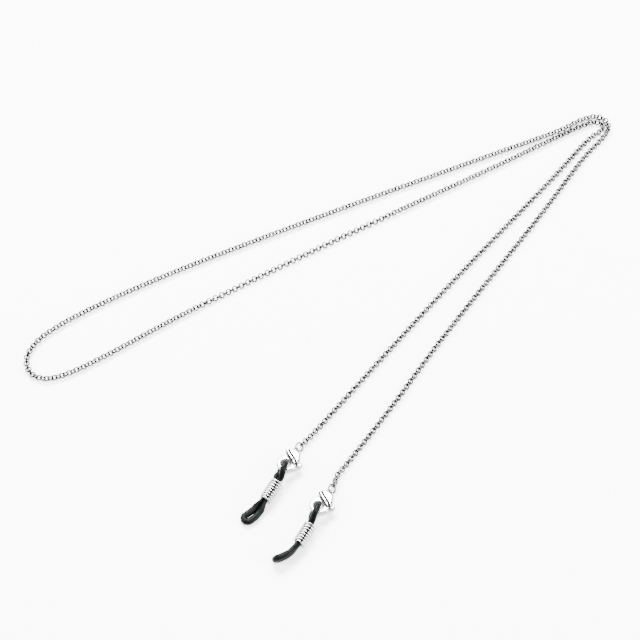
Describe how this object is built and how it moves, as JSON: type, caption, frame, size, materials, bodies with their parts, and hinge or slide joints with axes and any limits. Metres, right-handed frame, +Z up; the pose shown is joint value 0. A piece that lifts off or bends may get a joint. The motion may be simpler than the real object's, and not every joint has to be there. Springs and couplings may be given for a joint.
{
  "type": "eyeglass retainer strap",
  "caption": "Fine steel rolo chain that keeps a pair of glasses round the neck, with lobster clasps and coil-gripped rubber temple loops",
  "frame": {"origin": "on the table under the middle of the clasps, coils and loops, at the height of the surface the strap lies on", "axes": "X to the right along the table, Y away from the loops towards the folded end of the chain, Z up"},
  "size_m": [0.1912, 0.1738, 0.0056],
  "materials": {
    "chain_steel": "polished stainless steel wire, with darker soldered joins",
    "clasp_steel": "polished cast stainless steel with soft rounded edges",
    "coil_steel": "bright drawn steel spring wire",
    "black_rubber": "smooth black silicone rubber with a soft sheen"
  },
  "bodies": {
    "chain": {"chain": "chain_steel"},
    "left_link_1": {"left_end_link_1": "chain_steel"},
    "left_link_2": {"left_end_link_2": "chain_steel"},
    "left_link_3": {"left_end_link_3": "chain_steel"},
    "left_ring": {"left_jump_ring": "chain_steel"},
    "left_clasp": {"left_clasp_body": "clasp_steel", "left_clasp_rivet": "clasp_steel", "left_clasp_spring": "clasp_steel"},
    "left_lever": {"left_clasp_lever": "clasp_steel"},
    "left_loop": {"left_rubber_loop": "black_rubber"},
    "left_coil": {"left_coil_slider": "coil_steel"},
    "right_link_1": {"right_end_link_1": "chain_steel"},
    "right_link_2": {"right_end_link_2": "chain_steel"},
    "right_link_3": {"right_end_link_3": "chain_steel"},
    "right_ring": {"right_jump_ring": "chain_steel"},
    "right_clasp": {"right_clasp_body": "clasp_steel", "right_clasp_rivet": "clasp_steel", "right_clasp_spring": "clasp_steel"},
    "right_lever": {"right_clasp_lever": "clasp_steel"},
    "right_loop": {"right_rubber_loop": "black_rubber"},
    "right_coil": {"right_coil_slider": "coil_steel"}
  },
  "joints": [
    {"name": "left_link_1_swing", "type": "hinge", "parent": "chain", "child": "left_link_1", "pos_m": [0.0056, 0.02154, 0.00111], "axis": [0.5171, -0.4829, -0.7067], "range_deg": [-30, 30]},
    {"name": "left_link_2_swing", "type": "hinge", "parent": "left_link_1", "child": "left_link_2", "pos_m": [0.00481, 0.02064, 0.00115], "axis": [0.5502, -0.4449, 0.7067], "range_deg": [-30, 30]},
    {"name": "left_link_3_swing", "type": "hinge", "parent": "left_link_2", "child": "left_link_3", "pos_m": [0.00403, 0.01973, 0.00119], "axis": [0.5171, -0.4829, -0.7067], "range_deg": [-30, 30]},
    {"name": "left_ring_swing", "type": "hinge", "parent": "left_link_3", "child": "left_ring", "pos_m": [0.00324, 0.01883, 0.00123], "axis": [0.5745, -0.4677, 0.6718], "range_deg": [-40, 40]},
    {"name": "left_clasp_swing", "type": "hinge", "parent": "left_ring", "child": "left_clasp", "pos_m": [0.00203, 0.01724, 0.00135], "axis": [0.5164, -0.4272, -0.7422], "range_deg": [-30, 30]},
    {"name": "left_lever_press", "type": "hinge", "parent": "left_clasp", "child": "left_lever", "pos_m": [0.001, 0.01267, 0.00206], "axis": [0.077, 0.1362, 0.9877], "range_deg": [0, 25], "stiffness_Nm_per_rad": 0.0002, "springref_deg": -11.46, "deforming": ["left_clasp_spring"]},
    {"name": "left_loop_swing", "type": "hinge", "parent": "left_clasp", "child": "left_loop", "pos_m": [-0.00233, 0.00953, 0.00275], "axis": [0.8704, -0.4924, 0], "range_deg": [-30, 30]},
    {"name": "left_coil_slide", "type": "slide", "parent": "left_loop", "child": "left_coil", "axis": [-0.4866, -0.8736, 0], "range_m": [-0.002, 0.005], "deforming": ["left_rubber_loop"]},
    {"name": "right_link_1_swing", "type": "hinge", "parent": "chain", "child": "right_link_1", "pos_m": [0.01398, 0.00773, 0.00124], "axis": [0.6647, -0.2425, -0.7067], "range_deg": [-30, 30]},
    {"name": "right_link_2_swing", "type": "hinge", "parent": "right_link_1", "child": "right_link_2", "pos_m": [0.01361, 0.00659, 0.00128], "axis": [0.6803, -0.1946, 0.7067], "range_deg": [-30, 30]},
    {"name": "right_link_3_swing", "type": "hinge", "parent": "right_link_2", "child": "right_link_3", "pos_m": [0.01324, 0.00545, 0.00132], "axis": [0.6647, -0.2425, -0.7067], "range_deg": [-30, 30]},
    {"name": "right_ring_swing", "type": "hinge", "parent": "right_link_3", "child": "right_ring", "pos_m": [0.01287, 0.00431, 0.00137], "axis": [0.7138, -0.2069, 0.6691], "range_deg": [-40, 40]},
    {"name": "right_clasp_swing", "type": "hinge", "parent": "right_ring", "child": "right_clasp", "pos_m": [0.01189, 0.00258, 0.00148], "axis": [0.5219, -0.4416, -0.7299], "range_deg": [-30, 30]},
    {"name": "right_lever_press", "type": "hinge", "parent": "right_clasp", "child": "right_lever", "pos_m": [0.01078, -0.00197, 0.00219], "axis": [0.0794, 0.1348, 0.9877], "range_deg": [0, 25], "stiffness_Nm_per_rad": 0.0002, "springref_deg": -11.46, "deforming": ["right_clasp_spring"]},
    {"name": "right_loop_swing", "type": "hinge", "parent": "right_clasp", "child": "right_loop", "pos_m": [0.0074, -0.00505, 0.00288], "axis": [0.8616, -0.5075, 0], "range_deg": [-30, 30]},
    {"name": "right_coil_slide", "type": "slide", "parent": "right_loop", "child": "right_coil", "axis": [-0.4807, -0.8769, 0], "range_m": [-0.002, 0.005], "deforming": ["right_rubber_loop"]}
  ]
}
